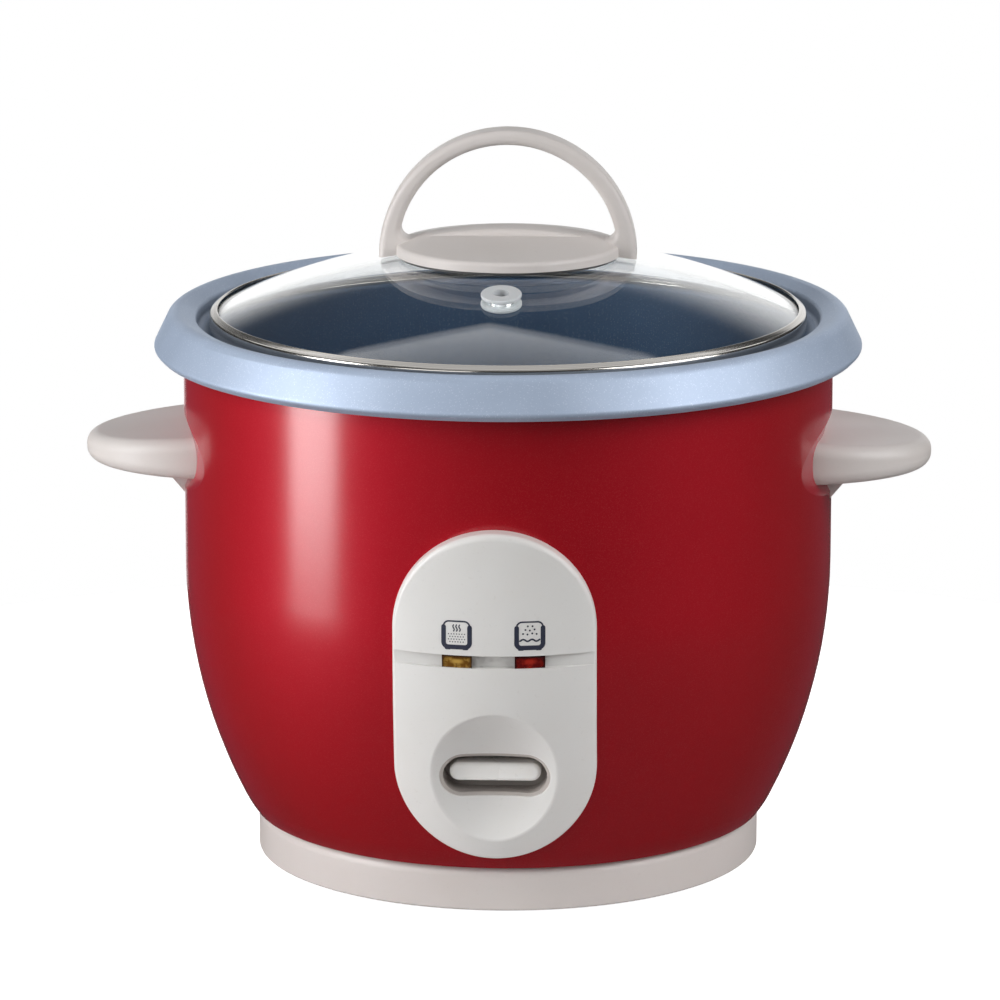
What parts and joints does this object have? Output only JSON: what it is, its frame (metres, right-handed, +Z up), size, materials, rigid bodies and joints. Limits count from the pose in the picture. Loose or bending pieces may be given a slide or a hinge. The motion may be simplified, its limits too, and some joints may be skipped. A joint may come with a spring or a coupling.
{
  "type": "rice cooker",
  "caption": "Round-bodied electric rice cooker with a lift-out pot, glass lid, side handles, switch panel and sprung thermostat.",
  "frame": {"origin": "on the table, in the middle of the circle of feet", "axes": "+Z up; the control panel faces -Y; the carry handles stand out along X"},
  "size_m": [0.2638, 0.22, 0.2294],
  "materials": {
    "red_lacquer": "metallic red lacquer with a clear coat",
    "warm_grey_plastic": "fine matt moulded texture",
    "panel_plastic": "satin moulded",
    "dark_plastic": "matt moulded",
    "amber_lens": "clear tinted",
    "red_lens": "clear tinted",
    "lamp_glass": "blown glass",
    "pot_coating": "speckled non-stick coating",
    "lid_glass": "tempered, clear",
    "stainless": "polished",
    "plated_steel": "bright zinc or aluminised",
    "spring_steel": "drawn wire",
    "cast_aluminium": "turned casting",
    "ferrite": "sintered, matt",
    "phenolic": "moulded",
    "brass": "rolled strip",
    "rubber": "matt",
    "fuse_ceramic": "glazed sleeve",
    "glass_cloth": "woven glass tape"
  },
  "bodies": {
    "cooker_body": {"outer_shell": "red_lacquer", "base_ring": "warm_grey_plastic", "right_handle": "warm_grey_plastic", "left_handle": "warm_grey_plastic", "control_panel": "panel_plastic", "slot_liner": "dark_plastic", "cord_gland": "dark_plastic", "warm_lens": "amber_lens", "cook_lens": "red_lens", "warm_lamp": "lamp_glass", "cook_lamp": "lamp_glass", "handle_screws": "plated_steel", "panel_screws": "plated_steel", "hem_screws": "plated_steel", "bottom_screws": "plated_steel", "heater_screws": "plated_steel", "lamp_bracket": "plated_steel", "lever_bracket": "plated_steel", "lever_pivot_pin": "plated_steel", "sensor_cage": "plated_steel", "bottom_plate": "plated_steel", "heating_element": "plated_steel", "inner_liner": "plated_steel", "sensor_spring": "spring_steel", "release_spring": "spring_steel", "heater_plate": "cast_aluminium", "contact_block": "phenolic", "contact_blades": "brass", "foot_rear_right": "rubber", "foot_rear_left": "rubber", "foot_front_left": "rubber", "foot_front_right": "rubber", "thermal_fuse": "fuse_ceramic", "keep_warm_heater": "glass_cloth"},
    "cooking_pot_body": {"cooking_pot": "pot_coating"},
    "lid": {"lid_glass": "lid_glass", "lid_band": "stainless", "lid_handle": "warm_grey_plastic", "handle_gasket": "rubber", "lid_screw": "plated_steel", "handle_washer": "plated_steel", "vent_eyelet": "stainless"},
    "switch_lever": {"lever_arm": "plated_steel", "switch_key": "panel_plastic"},
    "magnet_plunger": {"magnet_rod": "plated_steel", "magnet": "ferrite"},
    "sensor": {"sensor_cap": "cast_aluminium", "ferrite_disc": "ferrite"}
  },
  "joints": [
    {"name": "pot_lift", "type": "slide", "parent": "cooker_body", "child": "cooking_pot_body", "axis": [0, 0, 1], "range_m": [0, 0.16]},
    {"name": "lid_lift", "type": "slide", "parent": "cooking_pot_body", "child": "lid", "axis": [0, 0, 1], "range_m": [0, 0.12]},
    {"name": "switch_press", "type": "hinge", "parent": "cooker_body", "child": "switch_lever", "pos_m": [0, -0.05, 0.0338], "axis": [1, 0, 0], "range_deg": [0, 4.46], "stiffness_Nm_per_rad": 1.2, "springref_deg": -5.73},
    {"name": "magnet_lift", "type": "slide", "parent": "cooker_body", "child": "magnet_plunger", "axis": [0, 0, 1], "range_m": [0, 0.00389], "deforming": ["release_spring"]},
    {"name": "sensor_press", "type": "slide", "parent": "cooker_body", "child": "sensor", "axis": [0, 0, 1], "range_m": [-0.0025, 0], "stiffness_N_per_m": 800, "springref_m": 0.004, "deforming": ["sensor_spring"]}
  ],
  "couplings": [
    {"joint": "magnet_lift", "follows": "switch_press", "m_per_rad": 0.05}
  ]
}
